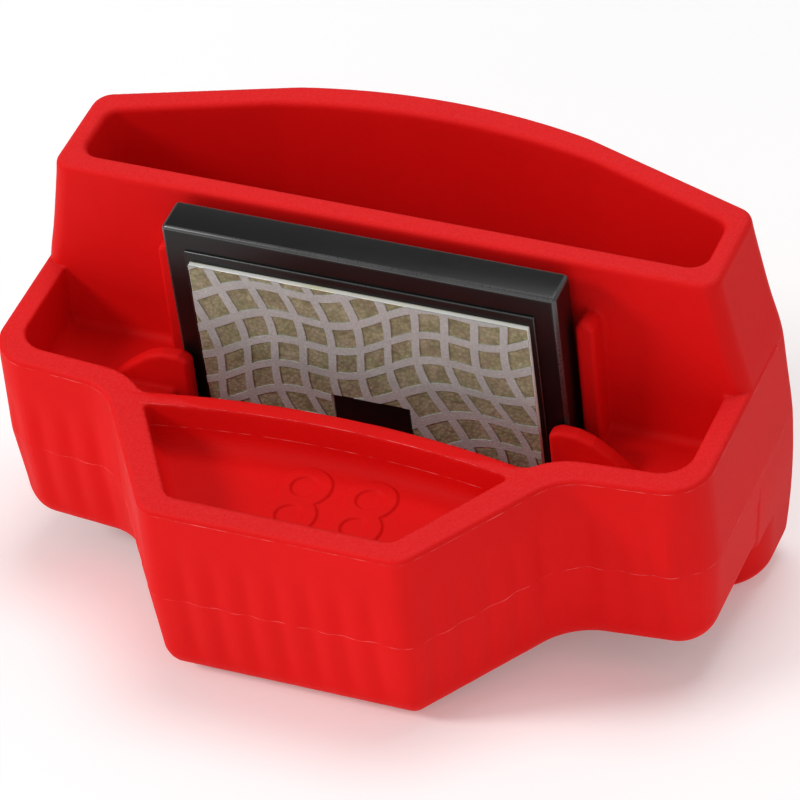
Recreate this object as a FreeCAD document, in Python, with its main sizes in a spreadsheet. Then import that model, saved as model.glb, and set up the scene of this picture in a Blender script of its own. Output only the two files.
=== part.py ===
"""Edge tuning tool: a hand-held guide that squares a ski's side edge to its base at 88 degrees.

The moulded holder is drawn in the tool's own frame: Z is square to the guide rims, z = 0 is the
underside of the rear foot, and y = 0 is the front of the file carrier at its top.  The rear foot
reaches lower than the front, so on a table the tool leans forward; every sub-part carries the same
Placement that sets it down like that, with +Z up and z = 0 on the table.  Lengths in millimetres.
"""
import math
import os

import FreeCAD
import Part
import Sketcher

V = FreeCAD.Vector
doc = FreeCAD.newDocument("edge_tuning_tool")
os.makedirs("parts", exist_ok=True)

# ---------------------------------------------------------------- driving dimensions
sheet = doc.addObject("Spreadsheet::Sheet", "Dims")
DIMS = [
    # heights in the tool frame
    ("front_base", 9.0), ("parting", 24.6), ("rim_height", 40.6), ("box_height", 59.5),
    ("wing_floor", 30.6), ("tray_floor", 33.6), ("well_floor", 21.8), ("pocket_floor", 3.6),
    # outer outline of the wings and the finger tray at the height of the rims
    ("side_half", 52.8), ("rear_join", 16.0), ("wing_front", 12.3), ("wing_front_in", 14.0),
    ("wing_corner_x", 33.6), ("tray_front", 35.8), ("tray_corner_x", 19.0),
    ("wing_radius", 6.5), ("neck_radius", 8.0), ("tray_radius", 3.5),
    ("wall_draft", 2.4),
    # inner edge of the rims
    ("side_inner", 49.4), ("wing_inner", 9.0), ("wing_inner_in", 10.4), ("wing_inner_x", 30.4),
    ("tray_inner", 32.1), ("tray_inner_x", 16.4),
    ("wing_inner_radius", 4.5), ("neck_inner_radius", 9.0), ("tray_inner_radius", 2.0),
    # grip box at its rim, at the guide rims, at the parting height and at the foot
    ("box_front", 7.8),
    ("top_half", 48.9), ("top_rear", 24.4), ("top_kink_x", 23.5), ("top_kink", 33.0), ("top_crown", 36.0),
    ("mid_half", 52.75), ("mid_rear", 24.8), ("mid_kink_x", 23.5), ("mid_kink", 33.4), ("mid_crown", 36.4),
    ("low_half", 53.0), ("low_rear", 26.0), ("low_kink_x", 23.5), ("low_kink", 34.4), ("low_crown", 37.2),
    ("foot_half", 51.0), ("foot_rear", 25.4), ("foot_kink_x", 23.5), ("foot_kink", 33.8),
    ("foot_crown", 36.6), ("foot_front", 9.6), ("foot_round", 2.4),
    # pocket in the grip box
    ("pocket_front", 11.4), ("pocket_half", 46.0), ("pocket_rear", 21.3),
    ("pocket_kink_x", 24.0), ("pocket_kink", 29.0), ("pocket_crown", 31.8), ("pocket_draft", 0.8),
    # arched wall between the tray and the well
    ("arch_mid", 10.8), ("arch_end", 13.6), ("arch_half", 28.6), ("arch_front_mid", 13.3),
    ("arch_front_end", 16.1), ("deep_x", 32.0), ("deep_front", 10.2),
    ("deep_corner_x", 44.6), ("deep_corner_y", 4.4),
    # well that holds the file carrier, its fins and its locating ribs
    ("well_half", 29.35), ("well_front", 9.6), 
    ("fin_inner", 26.3), ("fin_outer", 43.2), ("fin_top", 37.4), ("fin_peak", 28.4),
    ("fin_shoulder", 36.0), ("fin_root", 31.5), ("fin_back", 0.2), ("fin_thick", 2.4),
    ("rib_inner", 29.6), ("rib_outer", 32.2), ("rib_front", 4.2), ("rib_back", 8.6), ("rib_top", 51.6),
    # coring of the underside
    ("core_front", 31.0), ("core_front_x", 16.0), ("core_wing", 8.0), ("core_wing_x", 30.2),
    ("core_side", 48.2), ("core_rear", 4.6), ("core_top", 18.6), ("core_tray_top", 30.4),
    ("core_tray_rear", 16.2), ("core_tray_x", 25.2), ("core_wing_top", 27.4),
    ("core_wing_in", 9.6), ("core_inner_x", 32.8),
    # the edge angle on the tray floor, raised figures
    ("loop_outer", 3.95), ("loop_inner", 1.85), ("figure_pitch", 9.6), ("figure_shift", 2.4),
    ("upper_loop", 18.67), ("lower_loop", 24.47), ("figure_relief", 0.35),
    # file carrier, upright, from its top edge downwards and from its front face forwards
    ("file_lean", 2.0), ("carrier_half", 29.0), ("carrier_thick", 5.8), ("carrier_top", 59.1),
    ("carrier_high", 36.9), ("carrier_edge", 0.8), ("pad_half", 25.8), ("pad_top", 3.6),
    ("pad_bottom", 33.4), ("pad_relief", 0.4),
    ("film_thick", 0.12), ("sheet_half", 25.0), ("sheet_top", 5.3), ("sheet_bottom", 32.6),
    ("sheet_thick", 0.6), ("plate_thick", 0.14),
    ("notch_half", 5.9), ("notch_top", 24.9), ("key_half", 5.6), ("key_top", 25.2), ("key_relief", 0.5),
    # how the tool is set down on a table
    ("rest_tilt", 11.5), ("rest_lift", 1.944), ("rest_shift", 3.845),
]
for row, (name, value) in enumerate(DIMS, start=1):
    sheet.set("A%d" % row, name)
    sheet.set("B%d" % row, str(value))
    sheet.setAlias("B%d" % row, name)
doc.recompute()
D = dict(DIMS)

REST = FreeCAD.Placement(V(0, D["rest_shift"], -D["rest_lift"]),
                         FreeCAD.Rotation(V(1, 0, 0), D["rest_tilt"]))
LEAN = FreeCAD.Placement(V(0, 0, D["carrier_top"]), FreeCAD.Rotation(V(1, 0, 0), D["file_lean"]))


# ---------------------------------------------------------------- helpers
def number(token):
    """Value of a coordinate such as "side_half", "-tray_front" or "0"."""
    if token == "0":
        return 0.0
    return -D[token[1:]] if token.startswith("-") else D[token]


def bound(token):
    """The same coordinate as an expression on the sheet."""
    if token == "0":
        return "0"
    return "-Dims." + token[1:] if token.startswith("-") else "Dims." + token


def mirrored(token):
    if token == "0":
        return token
    return token[1:] if token.startswith("-") else "-" + token


def both_sides(points):
    """A right-hand run of points from the rear to the front, followed by its mirror image."""
    return points + [(mirrored(p[0]),) + tuple(p[1:]) for p in reversed(points)]


def plane_of(body, role):
    for feature in body.Origin.OriginFeatures:
        if feature.Role == role:
            return feature
    raise ValueError(role)


def sketch_on(body, name, role="XY_Plane", height=None):
    sk = body.newObject("Sketcher::SketchObject", name)
    sk.AttachmentSupport = [(plane_of(body, role), "")]
    sk.MapMode = "FlatFace"
    if height is not None:
        sk.setExpression(".AttachmentOffset.Base.z", bound(height))
    return sk


def pin(sk, geo, pos, x, y):
    """Hold one sketch point at two sheet coordinates."""
    for kind, token in (("DistanceX", x), ("DistanceY", y)):
        if token == "0":
            other = -2 if kind == "DistanceX" else -1
            sk.addConstraint(Sketcher.Constraint("PointOnObject", geo, pos, other))
            continue
        name = token.lstrip("-")
        ends = (geo, pos, -1, 1) if token.startswith("-") else (-1, 1, geo, pos)
        index = sk.addConstraint(Sketcher.Constraint(kind, *ends, D[name]))
        sk.setExpression("Constraints[%d]" % index, bound(name))


def outline(sk, points, crowns=None):
    """Closed outline through points (x, y); crowns = {index: y} makes the edge that leaves that
    point an arc over the centre plane."""
    crowns = crowns or {}
    xy = [V(number(x), number(y), 0) for x, y in points]
    for i, start in enumerate(xy):
        end = xy[(i + 1) % len(xy)]
        if i in crowns:
            right, left = (start, end) if start.x > end.x else (end, start)
            sk.addGeometry(Part.Arc(right, V(0, number(crowns[i]), 0), left), False)
        else:
            sk.addGeometry(Part.LineSegment(start, end), False)

    def side(geo, point):
        return 1 if (sk.Geometry[geo].StartPoint - point).Length < 1e-6 else 2

    for i, (x, y) in enumerate(points):
        before = (i - 1) % len(points)
        a, b = side(before, xy[i]), side(i, xy[i])
        sk.addConstraint(Sketcher.Constraint("Coincident", before, a, i, b))
        pin(sk, i, b, x, y)
    for i, y in crowns.items():
        peak = sk.addGeometry(Part.Point(V(0, number(y), 0)), True)
        sk.addConstraint(Sketcher.Constraint("PointOnObject", peak, 1, i))
        pin(sk, peak, 1, "0", y)
    doc.recompute()
    if "Invalid" in sk.State:
        raise RuntimeError("sketch %s doesn't solve" % sk.Name)


def step(body, kind, sk, length, taper=None, reverse=False):
    """A pad or pocket whose length is an expression on the sheet."""
    feature = body.newObject("PartDesign::" + kind, kind + "_" + sk.Name)
    feature.Profile = sk
    feature.Reversed = reverse
    feature.setExpression("Length", length)
    if taper is not None:
        feature.setExpression("TaperAngle", taper)
    doc.recompute()
    return feature


def grown(body, feature, before, sign):
    """The feature must have added (or removed) material."""
    after = body.Shape.Volume
    if (after - before) * sign <= 0:
        raise RuntimeError("%s changed the volume by %.2f" % (feature.Name, after - before))


def add(body, sk, length, taper=None, reverse=False):
    before = body.Shape.Volume if not body.Shape.isNull() else 0.0
    grown(body, step(body, "Pad", sk, length, taper, reverse), before, 1)


def cut(body, sk, length, taper=None, reverse=False):
    before = body.Shape.Volume
    grown(body, step(body, "Pocket", sk, length, taper, reverse), before, -1)


def round_edges(body, name, radius, test):
    """Fillet every edge of the body that passes the test."""
    base = body.Tip
    names = ["Edge%d" % n for n, e in enumerate(base.Shape.Edges, start=1) if test(e)]
    feature = body.newObject("PartDesign::Fillet", name)
    feature.Base = (base, names)
    feature.setExpression("Radius", "Dims." + radius)
    doc.recompute()
    if "Invalid" in feature.State or not body.Shape.isValid():
        raise RuntimeError("%s failed on %d edges" % (name, len(names)))


def upright_at(spots, reach=0.6, slope=0.9):
    """Test for edges that run up and down through one of the (x, y) spots, on either side."""
    def test(edge):
        ends = [v.Point for v in edge.Vertexes]
        if len(ends) != 2 or abs(ends[0].z - ends[1].z) < slope * edge.Length:
            return False
        top = max(ends, key=lambda p: p.z)
        return any(abs(abs(top.x) - x) < reach and abs(top.y - y) < reach for x, y in spots)
    return test


# ---------------------------------------------------------------- one-piece holder
holder = doc.addObject("PartDesign::Body", "holder_body")
holder.Label = "holder_body"

FRONT = both_sides([
    ("side_half", "rear_join"), ("side_half", "-wing_front"),
    ("wing_corner_x", "-wing_front_in"), ("tray_corner_x", "-tray_front"),
])
front = sketch_on(holder, "front_outline", height="rim_height")
outline(front, FRONT)
add(holder, front, "Dims.rim_height - Dims.front_base", "-Dims.wall_draft", reverse=True)
round_edges(holder, "wing_corners", "wing_radius",
            upright_at([(D["side_half"], -D["wing_front"])]))
round_edges(holder, "necks", "neck_radius",
            upright_at([(D["wing_corner_x"], -D["wing_front_in"])]))
round_edges(holder, "tray_corners", "tray_radius",
            upright_at([(D["tray_corner_x"], -D["tray_front"])]))


def box_section(name, height, prefix, front="box_front"):
    sk = sketch_on(holder, name, height=height)
    outline(sk, both_sides([
        (prefix + "_half", front), (prefix + "_half", prefix + "_rear"),
        (prefix + "_kink_x", prefix + "_kink"),
    ]), crowns={2: prefix + "_crown"})
    return sk


def loft(name, sections):
    feature = holder.newObject("PartDesign::AdditiveLoft", name)
    feature.Profile = sections[0]
    feature.Sections = sections[1:]
    feature.Ruled = True
    before = holder.Shape.Volume
    doc.recompute()
    grown(holder, feature, before, 1)


loft("grip_box", [
    box_section("box_foot", None, "foot", "foot_front"),
    box_section("box_low", "parting", "low"),
    box_section("box_mid", "rim_height", "mid"),
    box_section("box_top", "box_height", "top"),
])

round_edges(holder, "foot_edges", "foot_round",
            lambda e: e.BoundBox.ZMax < 0.01 and e.Length > 5)

# recess for the wings and the tray, down to the tray floor
recess = sketch_on(holder, "recess", height="rim_height")
outline(recess, both_sides([
    ("side_inner", "box_front"), ("side_inner", "-wing_inner"),
    ("wing_inner_x", "-wing_inner_in"), ("tray_inner_x", "-tray_inner"),
]))
cut(holder, recess, "Dims.rim_height - Dims.tray_floor")
for name, spot, radius in (("wing_inside", ("side_inner", "wing_inner"), "wing_inner_radius"),
                           ("neck_inside", ("wing_inner_x", "wing_inner_in"), "neck_inner_radius"),
                           ("tray_inside", ("tray_inner_x", "tray_inner"), "tray_inner_radius")):
    round_edges(holder, name, radius, upright_at([(D[spot[0]], -D[spot[1]])]))

# the wings and the space behind the tray are deeper
deep = sketch_on(holder, "deep_floor", height="tray_floor")
outline(deep, both_sides([
    ("side_inner", "box_front"), ("side_inner", "-deep_corner_y"), ("deep_corner_x", "-wing_inner"),
    ("deep_x", "-deep_front"), ("arch_half", "-arch_end"),
]), crowns={4: "-arch_mid"})
cut(holder, deep, "Dims.tray_floor - Dims.wing_floor")

# arched wall that closes the tray at the back and carries the ski's base next to the file
arch = sketch_on(holder, "arched_wall", height="wing_floor")
outline(arch, both_sides([("arch_half", "-arch_end"), ("arch_half", "-arch_front_end")]),
        crowns={1: "-arch_front_mid", 3: "-arch_mid"})
add(holder, arch, "Dims.rim_height - Dims.wing_floor")

# well for the foot of the file carrier
well = sketch_on(holder, "well", height="wing_floor")
outline(well, both_sides([("well_half", "box_front"), ("well_half", "-well_front")]))
cut(holder, well, "Dims.wing_floor - Dims.well_floor")

# pocket in the grip box
pocket = sketch_on(holder, "grip_pocket", height="box_height")
outline(pocket, both_sides([
    ("pocket_half", "pocket_front"), ("pocket_half", "pocket_rear"),
    ("pocket_kink_x", "pocket_kink"),
]), crowns={2: "pocket_crown"})
cut(holder, pocket, "Dims.box_height - Dims.pocket_floor", "-Dims.pocket_draft")

# fins that keep the carrier from leaning forwards, one at each lower corner
for side, sign in (("left", "-"), ("right", "")):
    fin = holder.newObject("Sketcher::SketchObject", "fin_" + side)
    fin.AttachmentSupport = [(plane_of(holder, "XZ_Plane"), "")]
    fin.MapMode = "FlatFace"
    fin.setExpression(".AttachmentOffset.Base.z", "-Dims.fin_back")
    outline(fin, [(sign + x, z) for x, z in (
        ("fin_inner", "well_floor"), ("fin_inner", "fin_shoulder"), ("fin_peak", "fin_top"),
        ("fin_outer", "wing_floor"), ("fin_root", "wing_floor"), ("fin_root", "well_floor"))])
    add(holder, fin, "Dims.fin_thick")

# locating ribs on the grip box, one at each side of the carrier
for side, sign in (("left", "-"), ("right", "")):
    rib = sketch_on(holder, "rib_" + side, height="wing_floor")
    outline(rib, [(sign + "rib_inner", "rib_front"), (sign + "rib_outer", "rib_front"),
                  (sign + "rib_outer", "rib_back"), (sign + "rib_inner", "rib_back")])
    add(holder, rib, "Dims.rib_top - Dims.wing_floor")

# the underside is cored to an even wall
core = sketch_on(holder, "core_low", height="front_base")
outline(core, both_sides([
    ("core_side", "core_rear"), ("core_side", "-core_wing"),
    ("core_wing_x", "-core_wing_in"), ("core_front_x", "-core_front"),
]))
cut(holder, core, "Dims.core_top - Dims.front_base", reverse=True)
tray_core = sketch_on(holder, "core_tray", height="core_top")
outline(tray_core, both_sides([("core_tray_x", "-core_tray_rear"), ("core_front_x", "-core_front")]))
cut(holder, tray_core, "Dims.core_tray_top - Dims.core_top", reverse=True)
for side, sign in (("left", "-"), ("right", "")):
    wing_core = sketch_on(holder, "core_wing_" + side, height="core_top")
    outline(wing_core, [(sign + x, y) for x, y in (
        ("core_inner_x", "core_rear"), ("core_side", "core_rear"),
        ("core_side", "-core_wing"), ("core_inner_x", "-core_wing"))])
    cut(holder, wing_core, "Dims.core_wing_top - Dims.core_top", reverse=True)

# the figures 88 for the edge angle, raised on the tray floor
for row in ("upper_loop", "lower_loop"):
    rings = sketch_on(holder, "figures_" + row, height="tray_floor")
    for step_x in (-0.5, 0.5):
        x = D["figure_shift"] + step_x * D["figure_pitch"]
        for radius in ("loop_outer", "loop_inner"):
            ring = rings.addGeometry(Part.Circle(V(x, -D[row], 0), V(0, 0, 1), D[radius]), False)
            index = rings.addConstraint(Sketcher.Constraint("Radius", ring, D[radius]))
            rings.setExpression("Constraints[%d]" % index, bound(radius))
            index = rings.addConstraint(Sketcher.Constraint("DistanceY", ring, 3, -1, 1, D[row]))
            rings.setExpression("Constraints[%d]" % index, bound(row))
            if x > 0:
                index = rings.addConstraint(Sketcher.Constraint("DistanceX", -1, 1, ring, 3, x))
            else:
                index = rings.addConstraint(Sketcher.Constraint("DistanceX", ring, 3, -1, 1, -x))
            side = "Dims.figure_shift %s 0.5 * Dims.figure_pitch" % ("+" if step_x > 0 else "-")
            rings.setExpression("Constraints[%d]" % index, side if x > 0 else "-(%s)" % side)
    doc.recompute()
    add(holder, rings, "Dims.figure_relief")


# ---------------------------------------------------------------- file carrier and what it carries
def upright_sketch(body, name, forward):
    """Sketch on the front plane, the given distance in front of it."""
    sk = body.newObject("Sketcher::SketchObject", name)
    sk.AttachmentSupport = [(plane_of(body, "XZ_Plane"), "")]
    sk.MapMode = "FlatFace"
    sk.setExpression(".AttachmentOffset.Base.z", forward)
    return sk


def plate_with_notch(name, start, thick):
    """A flat plate in front of the carrier with the keyway cut in its lower edge."""
    body = doc.addObject("PartDesign::Body", name)
    body.Label = name
    face = upright_sketch(body, name + "_face", start)
    outline(face, [
        ("-sheet_half", "-sheet_top"), ("sheet_half", "-sheet_top"), ("sheet_half", "-sheet_bottom"),
        ("notch_half", "-sheet_bottom"), ("notch_half", "-notch_top"), ("-notch_half", "-notch_top"),
        ("-notch_half", "-sheet_bottom"), ("-sheet_half", "-sheet_bottom")])
    add(body, face, thick)
    return body


carrier = doc.addObject("PartDesign::Body", "file_carrier")
carrier.Label = "file_carrier"
blank = upright_sketch(carrier, "carrier_face", "0")
outline(blank, [("-carrier_half", "0"), ("carrier_half", "0"),
                ("carrier_half", "-carrier_high"), ("-carrier_half", "-carrier_high")])
add(carrier, blank, "Dims.carrier_thick", reverse=True)
round_edges(carrier, "carrier_edges", "carrier_edge", lambda e: e.Length > 30)
raised = upright_sketch(carrier, "bonding_pad", "0")
outline(raised, [("-pad_half", "-pad_top"), ("pad_half", "-pad_top"),
                 ("pad_half", "-pad_bottom"), ("-pad_half", "-pad_bottom")])
add(carrier, raised, "Dims.pad_relief")
key = upright_sketch(carrier, "key", "Dims.pad_relief")
outline(key, [("-key_half", "-key_top"), ("key_half", "-key_top"),
              ("key_half", "-sheet_bottom"), ("-key_half", "-sheet_bottom")])
add(carrier, key, "Dims.key_relief")

film = plate_with_notch("adhesive_film", "Dims.pad_relief", "Dims.film_thick")
backing = plate_with_notch("abrasive_backing", "Dims.pad_relief + Dims.film_thick", "Dims.sheet_thick")
plating = plate_with_notch("diamond_plating", "Dims.pad_relief + Dims.film_thick + Dims.sheet_thick",
                           "Dims.plate_thick")

# ---------------------------------------------------------------- set down, check and write
holder.Placement = REST
for body in (carrier, film, backing, plating):
    body.Placement = REST.multiply(LEAN)
doc.recompute()
for item in doc.Objects:
    if {"Invalid", "Error"} & set(item.State):
        raise RuntimeError("%s: %s" % (item.Name, item.State))
for body in (holder, carrier, film, backing, plating):
    shape = body.Shape
    if shape.isNull() or not shape.isValid() or len(shape.Solids) != 1:
        raise RuntimeError("%s isn't one valid solid" % body.Label)
    shape.exportStep("parts/%s.step" % body.Label)
    box = shape.optimalBoundingBox()
    print("%-18s %9.1f mm3  x %6.2f %6.2f  y %6.2f %6.2f  z %6.2f %6.2f" % (
        body.Label, shape.Volume, box.XMin, box.XMax, box.YMin, box.YMax, box.ZMin, box.ZMax))
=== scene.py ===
"""Looks of the edge tuning tool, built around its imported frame.

Sizes are millimetres in the tool's own frame: Z square to the guide rims, z = 0 under the rear
foot, y = 0 at the front of the file carrier's top edge.  `placed` turns them into metres where
the tool rests on the floor, as the frame has it.
"""

import math

import bmesh
import bpy
import numpy as np
from mathutils import Matrix, Vector


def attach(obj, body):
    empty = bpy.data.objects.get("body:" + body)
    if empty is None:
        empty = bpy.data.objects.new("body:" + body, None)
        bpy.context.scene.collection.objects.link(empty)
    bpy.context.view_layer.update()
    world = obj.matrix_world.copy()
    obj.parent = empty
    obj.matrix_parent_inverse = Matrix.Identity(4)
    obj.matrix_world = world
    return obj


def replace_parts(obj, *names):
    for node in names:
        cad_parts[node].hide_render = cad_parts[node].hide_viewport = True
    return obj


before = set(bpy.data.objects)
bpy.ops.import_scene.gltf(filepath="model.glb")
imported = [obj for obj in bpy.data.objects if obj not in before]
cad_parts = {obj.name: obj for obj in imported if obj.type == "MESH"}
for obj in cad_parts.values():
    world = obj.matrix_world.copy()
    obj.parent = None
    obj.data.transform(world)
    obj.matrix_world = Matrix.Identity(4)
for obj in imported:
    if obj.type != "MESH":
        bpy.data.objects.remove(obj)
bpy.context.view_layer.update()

# ---------------------------------------------------------------- sizes, mm
REST_TILT, REST_LIFT, REST_SHIFT = 11.5, 1.944, 3.845
FILE_LEAN, CARRIER_TOP = 2.0, 59.1

FRONT_BASE, PARTING, RIM, BOX_TOP = 9.0, 24.6, 40.6, 59.5
WING_FLOOR, TRAY_FLOOR, WELL_FLOOR, POCKET_FLOOR = 30.6, 33.6, 21.8, 3.6
ARCH_LINE = 36.65
BOX_FRONT, FOOT_FRONT = 7.8, 9.6
ARCH_MID, ARCH_END, ARCH_HALF, ARCH_THICK = 10.8, 13.6, 28.6, 2.5
WELL_HALF, WELL_MIDDLE, WELL_REACH = 29.35, -0.9, 8.7
RIM_ROUND, EDGE_ROUND, WELL_ROUND, BOX_ROUND = 0.65, 0.4, 0.5, 0.9

# coring of the underside: the top of each hollow, and where the tray's and the wings' parts begin
CORE_TOP, TRAY_CORE_TOP, WING_CORE_TOP = 18.6, 30.4, 27.4
TRAY_CORE_BACK, WING_CORE_SIDE = -16.2, 32.8
CORE_ROUND, CORE_EDGE = 1.2, 0.6

# outline corners (x, y, radius), right half from the rear to the front
FRONT_OUTER = [(52.8, 20.0, 0), (52.8, -12.3, 6.5), (33.6, -14.0, 8.0), (19.0, -35.8, 3.8)]
FRONT_INNER = [(49.4, 14.0, 0), (49.4, -9.0, 4.5), (30.4, -10.4, 9.5), (16.4, -32.1, 2.2)]
GRIP_HALF, GRIP_REAR = 52.8, 24.4
GRIP_OUTER = [(52.8, -20.0, 0), (52.8, 24.4, 3.2), (23.5, 33.6, 22.0)]
GRIP_CROWN = 36.2
POCKET = [(46.0, 11.4, 2.6), (46.0, 21.3, 2.6), (24.0, 29.0, 18.0)]
POCKET_CROWN, POCKET_DRAFT = 31.8, 0.014
CORE = [(48.2, 4.6, 2.0), (48.2, -8.0, 4.0), (30.2, -9.6, 6.0), (16.0, -31.0, 2.0)]
LINE_PATH = [(53.0, 24.0, 3.2), (52.9, -12.3, 6.5), (33.6, -14.1, 8.0), (19.0, -35.9, 3.8)]

# how the walls stand: distance inside the outline, half length and rear edge against height
LEAN_Z, LEAN = [9.0, 24.6, 40.6], [1.2, -0.25, 0.0]
HALF_Z, HALF = [0, 9, 17, 24.6, 40.6, 46.5, 59.5], [51.0, 51.7, 52.6, 53.0, 52.75, 51.3, 48.9]
REAR_Z = [0, 3.5, 7.5, 11, 17, 25, 37, 46.5, 59.5]
REAR = [24.6, 25.9, 26.9, 26.9, 26.2, 25.8, 24.5, 24.2, 24.4]

GRID = 0.45          # spacing of the sampled field
FACE_LIMIT = 190_000                        # triangles kept on the holder


def placed(points):
    """Tool frame in mm to the resting tool in metres."""
    p = np.atleast_2d(np.asarray(points, float))
    c, s = math.cos(math.radians(REST_TILT)), math.sin(math.radians(REST_TILT))
    y = c * p[:, 1] - s * p[:, 2] + REST_SHIFT
    z = s * p[:, 1] + c * p[:, 2] - REST_LIFT
    return np.stack([p[:, 0], y, z], 1) / 1000


def on_carrier(points):
    """Carrier frame (x, forward of its front face, down from its top edge) to the tool frame."""
    p = np.atleast_2d(np.asarray(points, float))
    c, s = math.cos(math.radians(FILE_LEAN)), math.sin(math.radians(FILE_LEAN))
    y, z = -p[:, 1], -p[:, 2]
    return np.stack([p[:, 0], c * y - s * z, s * y + c * z + CARRIER_TOP], 1)


# ---------------------------------------------------------------- signed fields
def both(a, b, r=0.0):
    """Inside a and inside b, the edge between them rounded with radius r."""
    if np.isscalar(r) and r == 0.0:
        return np.maximum(a, b)
    return np.minimum(np.maximum(a, b), -r) + np.hypot(np.maximum(a + r, 0), np.maximum(b + r, 0))


def either(a, b, r=0.0):
    """Inside a or inside b, the corner between them filled with radius r."""
    return -both(-a, -b, r)


def smooth(x, a, b):
    t = np.clip((x - a) / (b - a), 0, 1)
    return t * t * (3 - 2 * t)


def profile(z, heights, values, blur=2.0):
    """Values against height, joined by straight runs with softened bends."""
    fine = np.arange(heights[0] - 8, heights[-1] + 8, 0.25)
    run = np.interp(fine, heights, values)
    reach = np.arange(-3 * blur, 3 * blur + 0.1, 0.25)
    bell = np.exp(-0.5 * (reach / blur) ** 2)
    soft = np.convolve(np.pad(run, len(reach) // 2, mode="edge"), bell / bell.sum(), "valid")
    return np.interp(z, fine, soft[:len(fine)])


def corner_arc(before, corner, after, radius, steps=12):
    """Points of the arc that rounds a corner."""
    a, c, b = (np.array(p, float) for p in (before, corner, after))
    u, v = (a - c) / np.linalg.norm(a - c), (b - c) / np.linalg.norm(b - c)
    half = math.acos(np.clip(u @ v, -1, 1)) / 2
    if radius <= 0:
        return [c]
    mid = (u + v) / np.linalg.norm(u + v)
    centre = c + mid * radius / math.sin(half)
    start = c + u * radius / math.tan(half) - centre
    end = c + v * radius / math.tan(half) - centre
    angle = math.atan2(start[0] * end[1] - start[1] * end[0], start @ end)
    return [centre + np.array([math.cos(t) * start[0] - math.sin(t) * start[1],
                               math.sin(t) * start[0] + math.cos(t) * start[1]])
            for t in np.linspace(0, angle, steps)]


def outline(corners, crown=None):
    """Closed symmetric outline with rounded corners; crown is where its last edge bows to."""
    right = [(x, y) for x, y, _ in corners]
    radii = [r for _, _, r in corners]
    bow = []
    if crown is not None:
        x0, y0 = right[-1]
        rise = crown - y0
        big = (x0 * x0 + rise * rise) / (2 * rise)
        for x in np.linspace(x0, -x0, 25)[1:-1]:
            bow.append((x, crown - (big - math.sqrt(big * big - x * x))))
    points = right + bow + [(-x, y) for x, y in reversed(right)]
    radii = radii + [0] * len(bow) + radii[::-1]
    rounded = []
    for i, r in enumerate(radii):
        rounded += corner_arc(points[i - 1], points[i], points[(i + 1) % len(points)], r)
    return np.array(rounded)


def outline_distance(points, u, v):
    """Signed distance from the places (u, v) to a closed outline: negative inside."""
    best = np.full(np.broadcast(u, v).shape, 1e9)
    inside = np.zeros(best.shape, bool)
    for a, b in zip(points, np.roll(points, -1, 0)):
        d = b - a
        length = d @ d
        if length < 1e-12:
            continue
        t = np.clip(((u - a[0]) * d[0] + (v - a[1]) * d[1]) / length, 0, 1)
        best = np.minimum(best, (u - a[0] - t * d[0]) ** 2 + (v - a[1] - t * d[1]) ** 2)
        if a[1] != b[1]:
            inside ^= ((a[1] > v) != (b[1] > v)) & (u < a[0] + (v - a[1]) * d[0] / d[1])
    return np.sqrt(best) * np.where(inside, -1, 1)


class Plan:
    """Signed distance to a closed outline in the plane, looked up from a fine grid."""
    SPACING, LOW, HIGH = 0.2, (-62.0, -46.0), (62.0, 46.0)

    def __init__(self, points):
        xs = np.arange(self.LOW[0], self.HIGH[0] + 0.1, self.SPACING)
        ys = np.arange(self.LOW[1], self.HIGH[1] + 0.1, self.SPACING)
        half = len(xs) // 2
        gx, gy = np.meshgrid(xs[half:], ys, indexing="ij")
        field = outline_distance(points, gx, gy)
        self.field = np.concatenate([field[:0:-1], field], 0)
        self.origin = (xs[half] - (len(field) - 1) * self.SPACING, ys[0])

    def __call__(self, x, y):
        u = np.clip((x - self.origin[0]) / self.SPACING, 0, self.field.shape[0] - 1.001)
        v = np.clip((y - self.origin[1]) / self.SPACING, 0, self.field.shape[1] - 1.001)
        i, j = u.astype(int), v.astype(int)
        a, b = u - i, v - j
        f = self.field
        return ((1 - a) * ((1 - b) * f[i, j] + b * f[i, j + 1])
                + a * ((1 - b) * f[i + 1, j] + b * f[i + 1, j + 1]))


# ---------------------------------------------------------------- the one-piece holder
FLUTE_DEPTH, FLUTE_WIDTH, FLUTE_PITCH = 0.34, 1.35, 4.6
FLUTE_REACH = 4                             # how far from its wall's line a flute still counts
FLUTE_FADE_IN, FLUTE_FADE_OUT = (9.5, 17.0), (28.5, 36.5)
FLUTE_RUNS = [  # (start, end) of each fluted stretch of wall and how many flutes it has
    ((-19.0, -35.8), (19.0, -35.8), 7), ((19.0, -35.8), (33.6, -14.0), 5),
    ((33.6, -14.0), (52.8, -12.3), 4)]


def flutes(x, y, z):
    """How deep the soft finger flutes cut into the front walls."""
    x = np.abs(x)
    depth = np.zeros(np.broadcast(x, y, z).shape)
    for (x0, y0), (x1, y1), count in FLUTE_RUNS:
        length = math.hypot(x1 - x0, y1 - y0)
        tx, ty = (x1 - x0) / length, (y1 - y0) / length
        along = (x - x0) * tx + (y - y0) * ty - length / 2
        off = (x - x0) * ty - (y - y0) * tx
        for k in range(count):
            centre = (k - (count - 1) / 2) * FLUTE_PITCH
            groove = np.exp(-((along - centre) / FLUTE_WIDTH) ** 2)
            depth = np.maximum(depth, groove * (np.abs(off) < FLUTE_REACH))
    window = smooth(z, *FLUTE_FADE_IN) * (1 - smooth(z, *FLUTE_FADE_OUT))
    return FLUTE_DEPTH * depth * window


PLAN_OUTER, PLAN_INNER = Plan(outline(FRONT_OUTER)), Plan(outline(FRONT_INNER))
PLAN_GRIP, PLAN_POCKET = Plan(outline(GRIP_OUTER, GRIP_CROWN)), Plan(outline(POCKET, POCKET_CROWN))
PLAN_CORE = Plan(outline(CORE))


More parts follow.
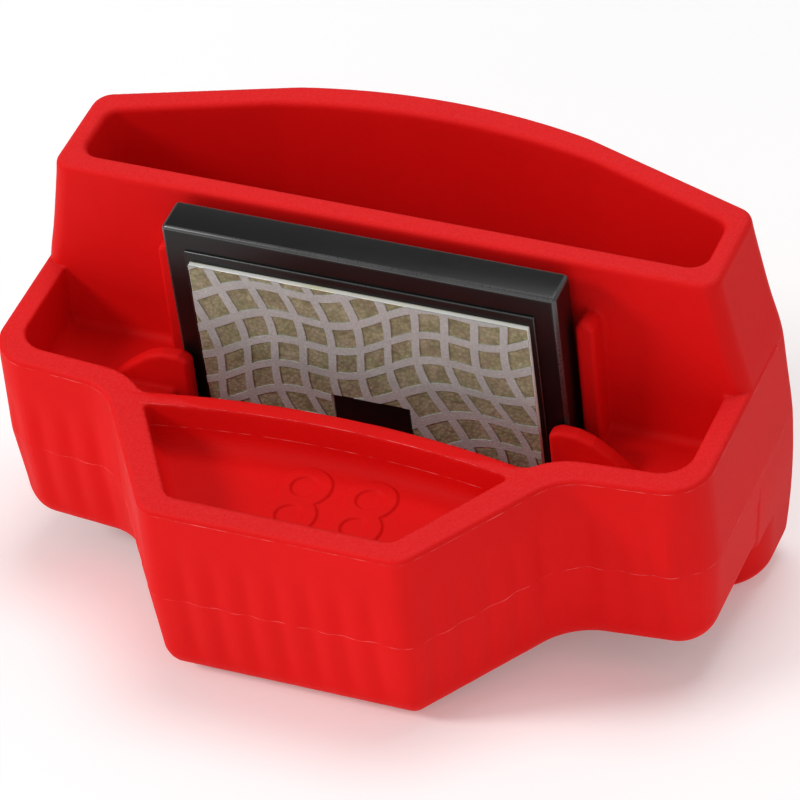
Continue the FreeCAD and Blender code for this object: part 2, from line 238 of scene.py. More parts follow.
# fins in front of the carrier and ribs beside it, as (x, z) outlines that the rounds widen
FIN = np.array([(27.9, 18.0), (27.9, 35.3), (28.6, 35.7), (30.8, 35.6), (32.8, 34.8), (35.2, 33.0),
                (37.6, 30.8), (40.0, 28.4), (40.0, 18.0)])
FIN_ROUND, FIN_BACK, FIN_FRONT, FIN_EDGE = 1.0, 0.5, -1.9, 0.7
RIB = np.array([(30.3, 28.0), (31.6, 28.0), (31.6, 50.4), (31.2, 50.9), (30.7, 50.9), (30.3, 50.4)])
RIB_ROUND, RIB_FRONT, RIB_BACK = 0.7, 4.2, 9.0


def arch_back(x):
    """Rear face of the arched wall between the tray and the carrier."""
    return -ARCH_MID - (ARCH_END - ARCH_MID) * (x / ARCH_HALF) ** 2


def front_field(x, y, z):
    """Wings and tray with the well for the carrier."""
    ax, inner = np.abs(x), PLAN_INNER(x, y)
    wall = PLAN_OUTER(x, y) + profile(z, LEAN_Z, LEAN, 0.6) + flutes(x, y, z)
    front = both(both(wall, FRONT_BASE - z, 4.5), z - RIM, RIM_ROUND)
    arch = arch_back(x)
    tray = both(both(inner, y - (arch - ARCH_THICK), 1.0), TRAY_FLOOR - z, 2.4)
    deep = both(both(inner, arch - y, 1.2), WING_FLOOR - z, 1.6)
    front = both(front, -tray, EDGE_ROUND)
    front = both(front, -deep, EDGE_ROUND)
    well = both(both(ax - WELL_HALF, np.abs(y - WELL_MIDDLE) - WELL_REACH, 0.8), WELL_FLOOR - z, WELL_ROUND)
    front = both(front, -well, WELL_ROUND)
    core = both(PLAN_CORE(x, y), z - CORE_TOP, CORE_ROUND)
    tray_core = both(both(PLAN_CORE(x, y), y - TRAY_CORE_BACK, 1.0), z - TRAY_CORE_TOP, CORE_ROUND)
    wing_core = both(both(PLAN_CORE(x, y), WING_CORE_SIDE - ax, 1.0), z - WING_CORE_TOP, CORE_ROUND)
    front = both(front, -core, CORE_EDGE)
    return both(front, -either(tray_core, wing_core), CORE_EDGE)


def grip_field(x, y, z):
    """The palm's box at the rear, with its pocket and the foot that it stands on."""
    scale = GRIP_HALF / profile(z, HALF_Z, HALF)
    grip = PLAN_GRIP(x * scale, y - (profile(z, REAR_Z, REAR) - GRIP_REAR)) / scale
    foot = z < FRONT_BASE + 2
    face = np.where(foot, FOOT_FRONT, BOX_FRONT) - y
    grip = both(grip, face, np.where(foot, 8.0, 2.6))
    grip = both(both(grip, z - BOX_TOP, BOX_ROUND), -z, 2.6)
    depth = np.maximum(BOX_TOP - z, 0)
    pocket = both(PLAN_POCKET(x, y) + POCKET_DRAFT * depth, POCKET_FLOOR - z, 2.0)
    return both(grip, -pocket, BOX_ROUND)


def holder_field(p):
    """Signed distance to the moulding at points p in the tool frame: negative inside."""
    x, y, z = p[:, 0], p[:, 1], p[:, 2]
    ax = np.abs(x)

    # the fillet where the two meet fades out at the sides, where both lie in one wall
    fillet = 1.3 * (1 - smooth(ax, 46.5, 51.5)) * smooth(z, 27.0, 30.0) + 1e-3
    solid = either(front_field(x, y, z), grip_field(x, y, z), fillet)

    layer = np.abs(y - (FIN_BACK + FIN_FRONT) / 2) - (FIN_BACK - FIN_FRONT) / 2
    fin = both(outline_distance(FIN, ax, z) - FIN_ROUND, layer, FIN_EDGE)
    solid = either(solid, fin, FIN_EDGE)
    rib = both(outline_distance(RIB, ax, z) - RIB_ROUND, RIB_FRONT - y, 0.6)
    rib = both(rib, y - RIB_BACK)
    return either(solid, rib, 0.5)


def gradient(field, p, step=0.02):
    g = np.zeros_like(p)
    for k in range(3):
        d = np.zeros(3)
        d[k] = step
        g[:, k] = (field(p + d) - field(p - d)) / (2 * step)
    return g


def surface_net(field, low, high, spacing):
    """Quads of the zero surface: one vertex per mixed cell, drawn onto the surface."""
    axes = [np.arange(a, b + spacing, spacing) for a, b in zip(low, high)]
    shape = tuple(len(a) for a in axes)
    gx, gy = np.meshgrid(axes[0], axes[1], indexing="ij")
    value = np.empty(shape, np.float32)
    for k, z in enumerate(axes[2]):
        flat = np.stack([gx.ravel(), gy.ravel(), np.full(gx.size, z)], 1)
        value[:, :, k] = field(flat).reshape(gx.shape)
    mirror = np.concatenate([value[:0:-1], value], 0)
    x_low = axes[0][0] - (shape[0] - 1) * spacing
    inside = mirror < 0
    cells = [n - 1 for n in mirror.shape]
    count = sum(inside[i:i + cells[0], j:j + cells[1], k:k + cells[2]].astype(np.int8)
                for i in (0, 1) for j in (0, 1) for k in (0, 1))
    active = (count > 0) & (count < 8)
    number = np.full(active.shape, -1, np.int64)
    number[active] = np.arange(active.sum())
    at = np.argwhere(active)
    total, hits = np.zeros((len(at), 3)), np.zeros(len(at))
    for axis in range(3):
        for u in (0, 1):
            for v in (0, 1):
                corner = np.zeros(3, int)
                corner[(axis + 1) % 3], corner[(axis + 2) % 3] = u, v
                a = at + corner
                b = a.copy()
                b[:, axis] += 1
                fa, fb = mirror[tuple(a.T)], mirror[tuple(b.T)]
                cut = (fa < 0) != (fb < 0)
                t = np.where(cut, fa / np.where(cut, fa - fb, 1), 0)
                place = a.astype(float)
                place[:, axis] += t
                total[cut] += place[cut]
                hits[cut] += 1
    p = total / hits[:, None] * spacing + np.array([x_low, axes[1][0], axes[2][0]])
    quads = []
    for axis in range(3):
        o1, o2 = (axis + 1) % 3, (axis + 2) % 3
        first = [slice(1, -1)] * 3
        first[axis] = slice(0, -1)
        second = list(first)
        second[axis] = slice(1, None)
        fa, fb = inside[tuple(first)], inside[tuple(second)]
        base = np.argwhere(fa != fb)
        outward = fa[tuple(base.T)]
        base[:, o1] += 1
        base[:, o2] += 1
        ring = []
        for d1, d2 in ((-1, -1), (0, -1), (0, 0), (-1, 0)):
            c = base.copy()
            c[:, o1] += d1
            c[:, o2] += d2
            ring.append(number[tuple(c.T)])
        ring = np.stack(ring, 1)
        ring[~outward] = ring[~outward][:, ::-1]
        quads.append(ring)
    quads = np.concatenate(quads)
    for _ in range(3):
        f, g = field(p), gradient(field, p)
        move = (f / np.maximum((g * g).sum(1), 0.25))[:, None] * g
        far = np.maximum(np.linalg.norm(move, axis=1) / spacing, 1)
        p -= move / far[:, None]
    return p, quads


def new_object(name, mesh, materials):
    """An object in the scene that shows the mesh with these materials."""
    obj = bpy.data.objects.new(name, mesh)
    bpy.context.scene.collection.objects.link(obj)
    for material in materials:
        mesh.materials.append(material)
    return obj


def shade_smooth(mesh):
    mesh.polygons.foreach_set("use_smooth", np.ones(len(mesh.polygons), bool))


def red_piece(name, points, faces, material):
    """A smooth-shaded piece of the holder from its points and faces."""
    mesh = bpy.data.meshes.new(name)
    mesh.from_pydata(np.asarray(points).tolist(), [], [list(map(int, f)) for f in faces])
    mesh.update()
    obj = new_object(name, mesh, [material])
    shade_smooth(mesh)
    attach(obj, "holder")
    return obj


def applied(obj):
    """Replace the mesh by the result of its modifiers."""
    graph = bpy.context.evaluated_depsgraph_get()
    made = bpy.data.meshes.new_from_object(obj.evaluated_get(graph))
    obj.modifiers.clear()
    obj.data = made


def settle(mesh, field):
    """Move the mesh from the tool frame to its place, shaded with the field's own normals.

    A float attribute is 1 on the up-facing flat tops of the rims, which slide on the ski, and of the box,
    and 0 elsewhere: there the red plastic is painted paler, a painted sheen from the light above.
    """
    co = np.empty(len(mesh.vertices) * 3)
    mesh.vertices.foreach_get("co", co)
    g = gradient(field, co.reshape(-1, 3))
    g /= np.maximum(np.linalg.norm(g, axis=1), 1e-9)[:, None]
    c, s = math.cos(math.radians(REST_TILT)), math.sin(math.radians(REST_TILT))
    turned = np.stack([g[:, 0], c * g[:, 1] - s * g[:, 2], s * g[:, 1] + c * g[:, 2]], 1)
    x, y, z = co.reshape(-1, 3).T
    beside_arch = (y < -14.2) | (np.abs(x) > 27)
    on_rim = smooth(z, RIM - 0.45, RIM - 0.1) * (z < RIM + 1) * beside_arch
    on_rim = np.maximum(on_rim, smooth(z, BOX_TOP - 0.7, BOX_TOP - 0.2))
    # mask of the painted sheen: up-facing tops only, so it follows how the light falls
    painted_highlight = mesh.attributes.new("painted_highlight", "FLOAT", "POINT")
    painted_highlight.data.foreach_set("value", (on_rim * np.clip(g[:, 2], 0, 1) ** 2).astype(np.float32))
    mesh.vertices.foreach_set("co", placed(co.reshape(-1, 3)).ravel())
    mesh.update()
    mesh.normals_split_custom_set_from_vertices(turned.tolist())


# ---------------------------------------------------------------- materials
class Nodes:
    """A material's node tree with short calls for adding and joining nodes."""

    def __init__(self, name):
        self.material = bpy.data.materials.new(name)
        self.material.use_nodes = True
        self.tree = self.material.node_tree
        self.shader = self.tree.nodes["Principled BSDF"]
        self.place = self.add("ShaderNodeTexCoord").outputs["Object"]

    def add(self, kind, **settings):
        node = self.tree.nodes.new(kind)
        for key, value in settings.items():
            setattr(node, key, value)
        return node

    def link(self, a, b):
        self.tree.links.new(a, b)

    def noise(self, scale, detail=3.0, rough=0.6):
        node = self.add("ShaderNodeTexNoise")
        node.inputs["Scale"].default_value = scale
        node.inputs["Detail"].default_value = detail
        node.inputs["Roughness"].default_value = rough
        self.link(self.place, node.inputs["Vector"])
        return node.outputs["Fac"]

    def cells(self, scale):
        node = self.add("ShaderNodeTexVoronoi")
        node.inputs["Scale"].default_value = scale
        self.link(self.place, node.inputs["Vector"])
        return node.outputs["Distance"]

    def ramp(self, source, stops):
        node = self.add("ShaderNodeValToRGB")
        elements = node.color_ramp.elements
        while len(elements) < len(stops):
            elements.new(0.5)
        for element, (at, colour) in zip(elements, stops):
            element.position = at
            element.color = (*colour, 1)
        self.link(source, node.inputs["Fac"])
        return node.outputs["Color"]

    def math(self, operation, a, b):
        node = self.add("ShaderNodeMath", operation=operation)
        for socket, value in zip(node.inputs, (a, b)):
            if isinstance(value, (int, float)):
                socket.default_value = value
            else:
                self.link(value, socket)
        return node.outputs["Value"]

    def blend(self, a, b, share):
        """Share of a and the rest of b."""
        return self.math("ADD", self.math("MULTIPLY", a, share), self.math("MULTIPLY", b, 1 - share))

    def mix(self, factor, a, b, blend="MIX"):
        node = self.add("ShaderNodeMix", data_type="RGBA", blend_type=blend)
        sockets = (node.inputs[0], node.inputs[6], node.inputs[7])
        for socket, value in zip(sockets, (factor, a, b)):
            if isinstance(value, (int, float)):
                socket.default_value = value
            elif isinstance(value, tuple):
                socket.default_value = (*value, 1)
            else:
                self.link(value, socket)
        return node.outputs[2]

    def span(self, source, low, high):
        node = self.add("ShaderNodeMapRange")
        node.inputs["To Min"].default_value = low
        node.inputs["To Max"].default_value = high
        self.link(source, node.inputs["Value"])
        return node.outputs["Result"]

    def bump(self, height, strength, distance, base=None):
        node = self.add("ShaderNodeBump")
        node.inputs["Strength"].default_value = strength
        node.inputs["Distance"].default_value = distance
        self.link(height, node.inputs["Height"])
        if base is not None:
            self.link(base, node.inputs["Normal"])
        return node.outputs["Normal"]

    def finish(self, colour, roughness, normal=None, **values):
        self.link(colour, self.shader.inputs["Base Color"])
        self.link(roughness, self.shader.inputs["Roughness"])
        if normal is not None:
            self.link(normal, self.shader.inputs["Normal"])
        for key, value in values.items():
            self.shader.inputs[key.replace("_", " ")].default_value = value
        return self.material


def red_plastic():
    n = Nodes("red_plastic")
    clouds, grain, fine = n.noise(30, 4), n.noise(2900, 2, 0.6), n.noise(5200, 1)
    colour = n.ramp(clouds, [(0.3, (0.70, 0.0050, 0.0048)), (0.7, (0.78, 0.0062, 0.0062))])
    # painted sheen: a pale veil mixed in through the grain, faint on all the red and strongest on the
    # up-facing tops that the float attribute marks
    sheen_grain = n.ramp(grain, [(0.30, (0.25, 0.25, 0.25)), (0.75, (1, 1, 1))])
    painted_highlight = n.add("ShaderNodeAttribute", attribute_name="painted_highlight").outputs["Fac"]
    veil = n.math("MULTIPLY", sheen_grain, n.math("ADD", n.math("MULTIPLY", painted_highlight, 0.50), 0.03))
    colour = n.mix(veil, colour, (0.84, 0.045, 0.050))
    rough = n.span(n.blend(grain, clouds, 0.7), 0.48, 0.72)
    normal = n.bump(grain, 0.34, 0.00008)
    normal = n.bump(fine, 0.25, 0.00004, normal)
    return n.finish(colour, rough, normal, IOR=1.48, Specular_IOR_Level=0.08,
                    Subsurface_Weight=0.05, Subsurface_Radius=(0.004, 0.0005, 0.0003), Subsurface_Scale=0.5)


def line_red():
    """Moulding flash: the same plastic, rougher, and paler in patches, a painted highlight along the fine
    bead.
    """
    n = Nodes("line_red")
    painted_highlight = n.ramp(n.noise(420, 3), [(0.38, (0.70, 0.006, 0.010)), (0.62, (0.88, 0.13, 0.13))])
    return n.finish(painted_highlight, n.span(n.noise(2400, 2), 0.5, 0.8), IOR=1.48, Specular_IOR_Level=0.2)


def black_plastic():
    n = Nodes("black_plastic")
    clouds, grain = n.noise(60, 4), n.noise(2600, 2)
    colour = n.ramp(clouds, [(0.3, (0.0026, 0.0032, 0.0028)), (0.7, (0.0044, 0.0050, 0.0046))])
    rough = n.span(n.blend(grain, clouds, 0.5), 0.22, 0.40)
    return n.finish(colour, rough, n.bump(grain, 0.15, 0.00005), IOR=1.50, Specular_IOR_Level=0.30)


def black_edge_highlight():
    """The same plastic on the rounded edges, painted lighter grey as a highlight, with a stronger shine."""
    n = Nodes("black_edge_highlight")
    clouds = n.noise(120, 3)
    colour = n.ramp(clouds, [(0.3, (0.020, 0.020, 0.020)), (0.7, (0.045, 0.045, 0.045))])
    return n.finish(colour, n.span(n.noise(2600, 2), 0.22, 0.36), IOR=1.50, Specular_IOR_Level=0.85)


def backing_grit():
    """Woven resin sheet with grit pressed into it, seen in the openings of the plating."""
    n = Nodes("backing_grit")
    grit, clouds, weave = n.cells(1700), n.noise(330, 4, 0.7), n.noise(1100, 3, 0.7)
    colour = n.ramp(clouds, [(0.30, (0.20, 0.185, 0.105)), (0.5, (0.33, 0.315, 0.19)),
                             (0.70, (0.47, 0.455, 0.31))])
    tint = n.ramp(n.noise(420, 2), [(0.4, (0.30, 0.31, 0.15)), (0.6, (0.38, 0.30, 0.21))])
    colour = n.mix(0.35, colour, tint)
    dark = n.ramp(grit, [(0.15, (1, 1, 1)), (0.75, (0.62, 0.62, 0.62))])
    colour = n.mix(0.8, colour, dark, "MULTIPLY")
    rough = n.span(weave, 0.62, 0.92)
    normal = n.bump(grit, 0.6, 0.00016)
    return n.finish(colour, rough, n.bump(weave, 0.4, 0.00010, normal), IOR=1.5, Specular_IOR_Level=0.25)


# the backing's cut edges: near white with cream tints, a painted highlight on these thin lit edges
def backing_edge_highlight():
    n = Nodes("backing_edge_highlight")
    clouds, grain = n.noise(190, 4), n.noise(2200, 2)
    colour = n.ramp(clouds, [(0.35, (0.96, 0.96, 0.94)), (0.58, (0.95, 0.94, 0.86)),
                             (0.75, (0.88, 0.84, 0.52))])
    return n.finish(colour, n.span(grain, 0.45, 0.7), n.bump(grain, 0.3, 0.00006), IOR=1.5)


def diamond_plate():
    n = Nodes("diamond_plate")
    grit, clouds, fine = n.cells(3800), n.noise(140, 4), n.noise(3000, 2, 0.7)
    colour = n.ramp(clouds, [(0.3, (0.47, 0.51, 0.49)), (0.7, (0.56, 0.60, 0.58))])
    sparkle = n.ramp(fine, [(0.45, (0.82, 0.82, 0.82)), (0.65, (1.0, 1.0, 1.0))])
    colour = n.mix(0.9, colour, sparkle, "MULTIPLY")
    rough = n.span(fine, 0.50, 0.78)
    normal = n.bump(grit, 0.5, 0.00007)
    return n.finish(colour, rough, n.bump(fine, 0.3, 0.00006, normal), Metallic=0.15, IOR=1.6)


def adhesive():
    n = Nodes("adhesive")
    clouds = n.noise(300, 3)
    colour = n.ramp(clouds, [(0.3, (0.62, 0.60, 0.50)), (0.7, (0.72, 0.70, 0.62))])
    return n.finish(colour, n.span(n.noise(1800, 2), 0.35, 0.6), n.bump(clouds, 0.2, 0.00005), IOR=1.48)


RED, LINE, BLACK, EDGE_HIGHLIGHT = red_plastic(), line_red(), black_plastic(), black_edge_highlight()
GRIT, CUT_EDGE_HIGHLIGHT, PLATE, GLUE = backing_grit(), backing_edge_highlight(), diamond_plate(), adhesive()


# ---------------------------------------------------------------- holder pieces
def make_holder():
    low, high = (0.0, -38.4, -1.2), (54.4, 39.0, 61.0)
    points, quads = surface_net(holder_field, low, high, GRID)
    obj = red_piece("holder_body_moulding", points, quads, RED)
    triangles = 2 * len(quads)
    if triangles > FACE_LIMIT:
        thin = obj.modifiers.new("thin", "DECIMATE")
        thin.ratio = FACE_LIMIT / triangles
        applied(obj)
    settle(obj.data, holder_field)
    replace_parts(obj, "holder_body")


LINE_ROUND, LINE_STEP, LINE_SIDES = 0.075, 0.5, 6


def mould_line(name, path, move):
    """A fine raised line that the mould leaves: a bead of uneven width half sunk in the surface.

    path is a run of points in the tool frame; they are drawn onto the surface along the
    directions that move allows, so that the bead follows every flute.
    """
    counts = [max(1, round(np.linalg.norm(b - a) / LINE_STEP)) for a, b in zip(path, path[1:])]
    p = np.array([a + (b - a) * t / n for a, b, n in zip(path, path[1:], counts) for t in range(n)])
    for _ in range(6):
        f, g = holder_field(p), gradient(holder_field, p) * move
        p = p - np.clip(f / np.maximum((g * g).sum(1), 0.3), -1, 1)[:, None] * g
    out = gradient(holder_field, p, 0.1)
    out /= np.linalg.norm(out, axis=1)[:, None]
    along = np.roll(p, -1, 0) - np.roll(p, 1, 0)
    along[0], along[-1] = p[1] - p[0], p[-1] - p[-2]
    along /= np.linalg.norm(along, axis=1)[:, None]
    side = np.cross(along, out)
    where = np.cumsum(np.full(len(p), LINE_STEP))
    swell = 0.62 + 0.28 * np.sin(where * 0.47) * np.sin(where * 0.171 + 1) + 0.2 * np.sin(where * 1.9 + 2)
    radius = LINE_ROUND * np.clip(swell, 0.2, 1)[:, None]
    rings = [p - out * 0.35 * LINE_ROUND + radius * (math.cos(a) * out + math.sin(a) * side)
             for a in np.linspace(0, 2 * math.pi, LINE_SIDES, endpoint=False)]
    points = np.stack(rings, 1).reshape(-1, 3)
    last, sides = len(p) - 1, LINE_SIDES
    faces = [(i * sides + k, i * sides + (k + 1) % sides, (i + 1) * sides + (k + 1) % sides,
              (i + 1) * sides + k) for i in range(last) for k in range(sides)]
    faces += [tuple(range(sides))[::-1], tuple(last * sides + k for k in range(sides))]
    red_piece(name, placed(points), faces, LINE)


def make_mould_lines():
    """The parting line round the outside, and the insert's lines on the rims and the arched wall."""
    level, upright = np.array([1, 1, 0.0]), np.array([0, 1, 1.0])
    ring = outline(LINE_PATH)
    front = ring[ring[:, 1] < LINE_PATH[0][1] - 1]
    for name, height in (("parting_line", PARTING), ("rim_line", RIM - 0.75)):
        mould_line(name, np.column_stack([front, np.full(len(front), height)]), level)
    x = np.linspace(-27.5, 27.5, 60)
    face = arch_back(x) - ARCH_THICK
    for name, back, height in (("arch_top_line", 0.1, RIM - 0.1), ("arch_foot_line", 0.0, ARCH_LINE)):
        mould_line(name, np.column_stack([x, face + back, np.full(len(x), height)]), upright)


FIGURE_OUTER, FIGURE_INNER, FIGURE_RELIEF, FIGURE_EDGE = 3.95, 1.85, 0.35, 0.3
FIGURE_PITCH, FIGURE_SHIFT, FIGURE_ROWS = 9.6, 2.4, (-18.67, -24.47)
FIGURE_STEP, FIGURE_SINK = 0.12, 0.06       # grid of the relief, and how far it starts in the floor


def make_figures():
    """The edge angle in raised rings on the tray floor."""
    columns = (FIGURE_SHIFT - FIGURE_PITCH / 2, FIGURE_SHIFT + FIGURE_PITCH / 2)
    margin = FIGURE_OUTER + 1
    xs = np.arange(columns[0] - margin, columns[1] + margin, FIGURE_STEP)
    ys = np.arange(FIGURE_ROWS[1] - margin, FIGURE_ROWS[0] + margin, FIGURE_STEP)
    gx, gy = np.meshgrid(xs, ys, indexing="ij")
    middle, half = (FIGURE_OUTER + FIGURE_INNER) / 2, (FIGURE_OUTER - FIGURE_INNER) / 2
    field = np.full(gx.shape, 1e9)
    for x in columns:
        for y in FIGURE_ROWS:
            field = np.minimum(field, np.abs(np.hypot(gx - x, gy - y) - middle) - half)
    swell = smooth(-field, -FIGURE_EDGE / 2, FIGURE_EDGE)
    height = TRAY_FLOOR - FIGURE_SINK + (FIGURE_RELIEF + FIGURE_SINK) * swell
    points = placed(np.stack([gx.ravel(), gy.ravel(), height.ravel()], 1))
    number = np.arange(gx.size).reshape(gx.shape)
    near = field < FIGURE_EDGE
    keep = near[:-1, :-1] & near[1:, :-1] & near[1:, 1:] & near[:-1, 1:]
    faces = np.stack([number[:-1, :-1][keep], number[1:, :-1][keep], number[1:, 1:][keep],
                      number[:-1, 1:][keep]], 1)
    used, faces = np.unique(faces, return_inverse=True)
    red_piece("tray_figures", points[used], faces.reshape(-1, 4), RED)


# ---------------------------------------------------------------- file insert pieces
CARRIER_HALF, CARRIER_THICK, CARRIER_HIGH, CARRIER_BEVEL = 29.0, 5.8, 36.9, 0.8
PAD_HALF, PAD_TOP, PAD_BOTTOM, PAD_RELIEF, PAD_SINK, PAD_BEVEL = 25.8, 3.6, 33.4, 0.4, -0.5, 0.3
SHEET_HALF, SHEET_TOP, SHEET_BOTTOM = 25.0, 5.3, 32.6
FILM, SHEET, PLATING = 0.12, 0.6, 0.14
NOTCH_HALF, NOTCH_TOP = 5.9, 24.9
KEY_HALF, KEY_TOP, KEY_FRONT, KEY_BACK = 5.6, 25.2, 0.9, 0.1
LATTICE_INSET, LATTICE_SINK = 0.02, 0.02    # how far inside the sheet's edges and face it starts


def insert_piece(name, mesh, materials):
    obj = new_object(name, mesh, materials)
    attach(obj, "file_insert")
    return obj


def carrier_directions(mesh):
    """Each face's normal in the carrier's own directions: across, through and along it."""
    lean = Matrix.Rotation(math.radians(REST_TILT + FILE_LEAN), 3, "X").transposed()
    return [(polygon, lean @ polygon.normal) for polygon in mesh.polygons]


def slab(name, half, front, back, top, bottom, materials, bevel=0.0, segments=3, notched=False):
    """A plate on the carrier: from back to front along its face, from top to bottom down it."""
    mesh = bpy.data.meshes.new(name)
    bm = bmesh.new()
    ring = [(-half, top), (half, top), (half, bottom), (-half, bottom)]
    if notched:
        ring[3:3] = [(NOTCH_HALF, bottom), (NOTCH_HALF, NOTCH_TOP), (-NOTCH_HALF, NOTCH_TOP),
                     (-NOTCH_HALF, bottom)]
    near = [bm.verts.new((x, front, d)) for x, d in ring]
    far = [bm.verts.new((x, back, d)) for x, d in ring]
    bm.faces.new(near)
    bm.faces.new(far[::-1])
    for i in range(len(ring)):
        j = (i + 1) % len(ring)
        bm.faces.new((near[j], near[i], far[i], far[j]))
    if bevel:
        bmesh.ops.bevel(bm, geom=list(bm.edges), offset=bevel, segments=segments, profile=0.5,
                        affect="EDGES", clamp_overlap=True)
    for v in bm.verts:
        v.co = Vector(placed(on_carrier([v.co]))[0])
    bmesh.ops.recalc_face_normals(bm, faces=bm.faces)
    bm.to_mesh(mesh)
    bm.free()
    shade_smooth(mesh)
    mesh.set_sharp_from_angle(angle=math.radians(38))
    return insert_piece(name, mesh, materials)


def make_carrier():
    """The black plate with its bonding pad and key, its rounded edges painted lighter grey as a highlight.
    """
    plate = slab("file_carrier_plate", CARRIER_HALF, 0, -CARRIER_THICK, 0, CARRIER_HIGH, [BLACK, EDGE_HIGHLIGHT],
                 CARRIER_BEVEL, segments=5)
    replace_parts(plate, "file_carrier")
    pad = slab("file_carrier_pad", PAD_HALF, PAD_RELIEF, PAD_SINK, PAD_TOP, PAD_BOTTOM, [BLACK, EDGE_HIGHLIGHT],
               PAD_BEVEL)
    # the slanted faces of the rounded edges take the painted edge highlight
    for piece in (plate, pad):
        for polygon, normal in carrier_directions(piece.data):
            polygon.material_index = 1 if max(abs(c) for c in normal) < 0.90 else 0
    slab("file_carrier_key", KEY_HALF, KEY_FRONT, KEY_BACK, KEY_TOP, SHEET_BOTTOM, [BLACK],
         bevel=0.15)


def make_sheet():
    """The adhesive film and the backing on it, gritty in front, its cut edges painted near white as a
    highlight.
    """
    film_front = PAD_RELIEF + FILM
    film = slab("adhesive_film_sheet", SHEET_HALF, film_front, PAD_RELIEF, SHEET_TOP, SHEET_BOTTOM, [GLUE],
                notched=True)
    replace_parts(film, "adhesive_film")
    sheet = slab("abrasive_backing_sheet", SHEET_HALF, film_front + SHEET, film_front, SHEET_TOP,
                 SHEET_BOTTOM, [GRIT, CUT_EDGE_HIGHLIGHT], bevel=0.05, segments=1, notched=True)
    # the front takes the grit, the cut edges the painted edge highlight
    for polygon, normal in carrier_directions(sheet.data):
        polygon.material_index = 0 if -normal.y > 0.9 else 1
    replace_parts(sheet, "abrasive_backing")


# the wavy lattice: cells at whole columns and rows, bands between them
BAND_SHARE = 0.27
LATTICE_COLUMNS, LATTICE_ROWS = range(-4, 14), range(-3, 12)


def wavy(column, row):
    """Where a point of the straight lattice lies on the sheet (x, down from the carrier's top)."""
    phase = 0.57 * row + 0.077 * column - 0.43
    x = -23.2 + 4.52 * column + 0.97 * row
    x += 1.28 * math.sin(1.14 * row + 0.154 * column - 0.87) - 0.57 * math.sin(phase)
    down = 7.55 + 4.74 * row - 1.18 * column - 1.42 * math.sin(1.195 * column - 0.06 * row)
    return x, down


def lattice_bands(bm):
    """The bands between the cells, in the sheet's plane: each cell's middle is left open."""
    half = BAND_SHARE / 2
    marks = [0.0, half] + list(np.linspace(half, 1 - half, 6)[1:-1]) + [1 - half, 1.0]
    spans = list(zip(marks, marks[1:]))
    known = {}

    def vertex(u, v):
        key = (round(u, 5), round(v, 5))
        if key not in known:
            known[key] = bm.verts.new((*wavy(u - 0.5, v - 0.5), 0))
        return known[key]

    for i in LATTICE_COLUMNS:
        for j in LATTICE_ROWS:
            for a0, a1 in spans:
                for b0, b1 in spans:
                    in_column, in_row = half < (a0 + a1) / 2 < 1 - half, half < (b0 + b1) / 2 < 1 - half
                    if not (in_column and in_row):
                        bm.faces.new((vertex(i + a0, j + b0), vertex(i + a1, j + b0),
                                      vertex(i + a1, j + b1), vertex(i + a0, j + b1)))


def trim_to_sheet(bm):
    """Cut the bands to the sheet's outline and its notch."""
    def cut(place, normal, clear):
        geom = bm.verts[:] + bm.edges[:] + bm.faces[:]
        bmesh.ops.bisect_plane(bm, geom=geom, plane_co=place, plane_no=normal, clear_outer=clear, dist=1e-6)

    cut((SHEET_HALF - LATTICE_INSET, 0, 0), (1, 0, 0), True)
    cut((-SHEET_HALF + LATTICE_INSET, 0, 0), (-1, 0, 0), True)
    cut((0, SHEET_BOTTOM - LATTICE_INSET, 0), (0, 1, 0), True)
    cut((0, SHEET_TOP + LATTICE_INSET, 0), (0, -1, 0), True)
    for x in (-NOTCH_HALF, NOTCH_HALF):
        cut((x, 0, 0), (1, 0, 0), False)
    cut((0, NOTCH_TOP, 0), (0, 1, 0), False)
    gone = [f for f in bm.faces if abs(f.calc_center_median().x) < NOTCH_HALF
            and f.calc_center_median().y > NOTCH_TOP]
    bmesh.ops.delete(bm, geom=gone, context="FACES")
    bmesh.ops.dissolve_degenerate(bm, edges=bm.edges[:], dist=1e-5)


def make_lattice():
    bm = bmesh.new()
    lattice_bands(bm)
    trim_to_sheet(bm)
    top = PAD_RELIEF + FILM + SHEET + PLATING
    made = bmesh.ops.extrude_face_region(bm, geom=bm.faces[:])
    new = {g for g in made["geom"] if isinstance(g, bmesh.types.BMVert)}
    for v in bm.verts:
        forward = top if v in new else top - PLATING - LATTICE_SINK
        v.co = Vector(placed(on_carrier([(v.co.x, forward, v.co.y)]))[0])
    bmesh.ops.recalc_face_normals(bm, faces=bm.faces)
    mesh = bpy.data.meshes.new("diamond_plating_lattice")
    bm.to_mesh(mesh)
    bm.free()
    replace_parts(insert_piece("diamond_plating_lattice", mesh, [PLATE]), "diamond_plating")


make_holder()
make_mould_lines()
make_figures()
make_carrier()
make_sheet()
make_lattice()


# ---------------------------------------------------------------- floor, light, camera
def stage_material():
    n = Nodes("studio_floor")
    colour = n.ramp(n.noise(3, 2), [(0.3, (0.93, 0.93, 0.93)), (0.7, (0.95, 0.95, 0.95))])
    return n.finish(colour, n.span(n.noise(40, 2), 0.7, 0.8), Emission_Color=(1, 1, 1, 1),
                    Emission_Strength=0.18)


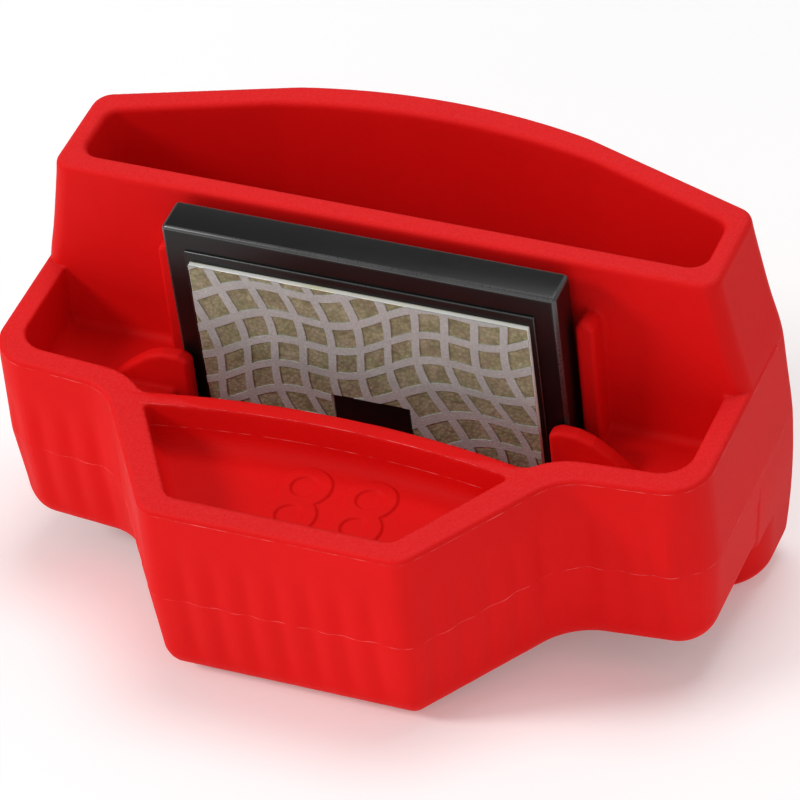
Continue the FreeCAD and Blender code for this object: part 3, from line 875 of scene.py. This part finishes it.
def make_floor():
    bm = bmesh.new()
    width, depth, rise, bend = 4.0, 1.6, 2.4, 0.8
    line = [(-3.0, 0.0), (depth, 0.0)]
    line += [(depth + bend * math.sin(a), bend * (1 - math.cos(a)))
             for a in np.linspace(0, math.pi / 2, 13)[1:]]
    line.append((depth + bend, rise))
    pairs = [(bm.verts.new((-width, y, z)), bm.verts.new((width, y, z))) for y, z in line]
    for (a, b), (c, d) in zip(pairs, pairs[1:]):
        bm.faces.new((a, b, d, c))
    mesh = bpy.data.meshes.new("studio_floor")
    bm.to_mesh(mesh)
    bm.free()
    shade_smooth(mesh)
    new_object("studio_floor", mesh, [stage_material()])


def area_light(name, place, size, power):
    """A round soft light in metres and watts, aimed at the middle of the tool."""
    light = bpy.data.lights.new(name, "AREA")
    light.shape = "DISK"
    light.size, light.energy = size, power
    obj = bpy.data.objects.new(name, light)
    obj.location = place
    obj.rotation_euler = (Vector((0, 0, 0.03)) - Vector(place)).to_track_quat("-Z", "Y").to_euler()
    bpy.context.scene.collection.objects.link(obj)


CAMERA_PLACE = (0.25285, -0.59847, 0.41942)
CAMERA_AZIMUTH, CAMERA_ELEVATION, CAMERA_ROLL, LENS = 22.656, 30.949, -0.879, 245.2


def make_camera():
    camera = bpy.data.cameras.new("camera")
    camera.lens, camera.sensor_width = LENS, 36.0
    camera.clip_start, camera.clip_end = 0.05, 20.0
    obj = bpy.data.objects.new("camera", camera)
    obj.rotation_mode = "QUATERNION"
    az, el, roll = (math.radians(a) for a in (CAMERA_AZIMUTH, CAMERA_ELEVATION, CAMERA_ROLL))
    obj.rotation_quaternion = (Matrix.Rotation(az, 3, "Z") @ Matrix.Rotation(math.pi / 2 - el, 3, "X")
                               @ Matrix.Rotation(roll, 3, "Z")).to_quaternion()
    obj.location = CAMERA_PLACE
    bpy.context.scene.collection.objects.link(obj)
    bpy.context.scene.camera = obj


def make_light():
    area_light("key", (-0.78, -0.62, 0.58), 0.30, 5.2)
    area_light("front_fill", (0.20, -1.2, 0.50), 0.9, 1.7)
    area_light("right_fill", (1.0, -0.3, 0.5), 0.8, 0.8)
    area_light("top", (0.05, 0.15, 1.25), 0.7, 5.4)
    world = bpy.data.worlds.new("studio")
    world.use_nodes = True
    back = world.node_tree.nodes["Background"]
    back.inputs["Color"].default_value = (1, 1, 1, 1)
    back.inputs["Strength"].default_value = 0.30
    bpy.context.scene.world = world
    bpy.context.scene.view_settings.view_transform = "Standard"


make_floor()
make_light()
make_camera()

bpy.context.view_layer.update()
